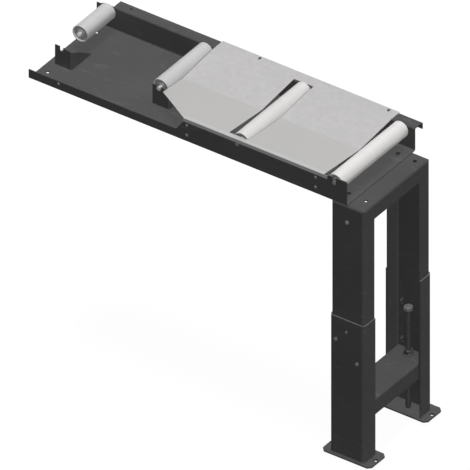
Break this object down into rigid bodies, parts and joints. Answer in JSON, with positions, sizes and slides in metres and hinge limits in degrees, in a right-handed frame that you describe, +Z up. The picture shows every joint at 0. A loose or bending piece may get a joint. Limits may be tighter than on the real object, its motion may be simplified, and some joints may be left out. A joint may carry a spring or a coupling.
{
  "type": "roller conveyor",
  "caption": "Roller conveyor extension: folded steel tray with idle rollers and a V-folded chute, carried at its outer end by a portal leg on screw-jacked feet.",
  "frame": {"origin": "middle of the two machine-end bolt holes, on the tray's underside", "axes": "+X along the tray, from the machine end to the leg; +Y across it, from the front wall to the back wall with the flange; +Z up"},
  "size_m": [1.131, 0.364, 0.9165],
  "materials": {
    "dark_paint": "satin",
    "bright_sheet": "satin",
    "zinc_tube": "satin",
    "bright_tube": "satin",
    "housing_plastic": "matte",
    "fastener_steel": "satin"
  },
  "bodies": {
    "frame": {"tray": "dark_paint", "roller_bracket_1": "dark_paint", "roller_bracket_2": "dark_paint", "axle_screws": "fastener_steel", "axle_clips": "fastener_steel", "chute": "bright_sheet", "chute_rib_left": "dark_paint", "chute_rib_right": "dark_paint", "rib_screws": "fastener_steel", "rib_nuts": "fastener_steel", "chute_screws": "fastener_steel", "chute_nuts": "fastener_steel", "roller_1_balls": "fastener_steel", "roller_1_inner_rings": "fastener_steel", "roller_1_axle": "fastener_steel", "roller_2_balls": "fastener_steel", "roller_2_inner_rings": "fastener_steel", "roller_2_axle": "fastener_steel", "roller_3_balls": "fastener_steel", "roller_3_inner_rings": "fastener_steel", "roller_3_axle": "fastener_steel", "roller_4_balls": "fastener_steel", "roller_4_inner_rings": "fastener_steel", "roller_4_axle": "fastener_steel", "leg_frame": "dark_paint", "cross_brace": "dark_paint", "jack_nuts": "fastener_steel", "leg_bolts": "fastener_steel", "leg_rivet_nuts": "fastener_steel", "web_screw": "fastener_steel", "web_nut": "fastener_steel"},
    "roller_1": {"roller_1_tube": "zinc_tube", "roller_1_end_caps": "housing_plastic", "roller_1_outer_rings": "fastener_steel"},
    "roller_2": {"roller_2_tube": "zinc_tube", "roller_2_end_caps": "housing_plastic", "roller_2_outer_rings": "fastener_steel"},
    "roller_3": {"roller_3_tube": "bright_tube", "roller_3_end_caps": "housing_plastic", "roller_3_outer_rings": "fastener_steel"},
    "roller_4": {"roller_4_tube": "bright_tube", "roller_4_end_caps": "housing_plastic", "roller_4_outer_rings": "fastener_steel"},
    "front_foot": {"front_sleeve": "dark_paint", "front_base_plate": "dark_paint", "front_clamp_bolts": "fastener_steel", "front_clamp_nuts": "fastener_steel", "front_set_screw": "fastener_steel"},
    "front_screw": {"front_jack_screw": "fastener_steel"},
    "rear_foot": {"rear_sleeve": "dark_paint", "rear_base_plate": "dark_paint", "rear_clamp_bolts": "fastener_steel", "rear_clamp_nuts": "fastener_steel", "rear_set_screw": "fastener_steel"},
    "rear_screw": {"rear_jack_screw": "fastener_steel"}
  },
  "joints": [
    {"name": "roller_1_spin", "type": "hinge", "parent": "frame", "child": "roller_1", "pos_m": [0.014, 0, 0.0595], "axis": [0, 1, 0], "continuous": true},
    {"name": "roller_2_spin", "type": "hinge", "parent": "frame", "child": "roller_2", "pos_m": [0.336, 0, 0.0595], "axis": [0, 1, 0], "continuous": true},
    {"name": "roller_3_spin", "type": "hinge", "parent": "frame", "child": "roller_3", "pos_m": [0.66, 0, 0.0595], "axis": [0, 1, 0], "continuous": true},
    {"name": "roller_4_spin", "type": "hinge", "parent": "frame", "child": "roller_4", "pos_m": [0.98, 0, 0.0595], "axis": [0, 1, 0], "continuous": true},
    {"name": "front_foot_height", "type": "slide", "parent": "frame", "child": "front_foot", "axis": [0, 0, 1], "range_m": [-0.012, 0.06]},
    {"name": "front_screw_turn", "type": "hinge", "parent": "front_foot", "child": "front_screw", "pos_m": [1.022, -0.1367, -0.499], "axis": [0, 0, 1], "range_deg": [-2160, 10800]},
    {"name": "rear_foot_height", "type": "slide", "parent": "frame", "child": "rear_foot", "axis": [0, 0, 1], "range_m": [-0.012, 0.06]},
    {"name": "rear_screw_turn", "type": "hinge", "parent": "rear_foot", "child": "rear_screw", "pos_m": [1.022, 0.1242, -0.499], "axis": [0, 0, 1], "range_deg": [-2160, 10800]}
  ],
  "couplings": [
    {"joint": "front_screw_turn", "follows": "front_foot_height", "rad_per_m": 3141.6},
    {"joint": "rear_screw_turn", "follows": "rear_foot_height", "rad_per_m": 3141.6}
  ]
}
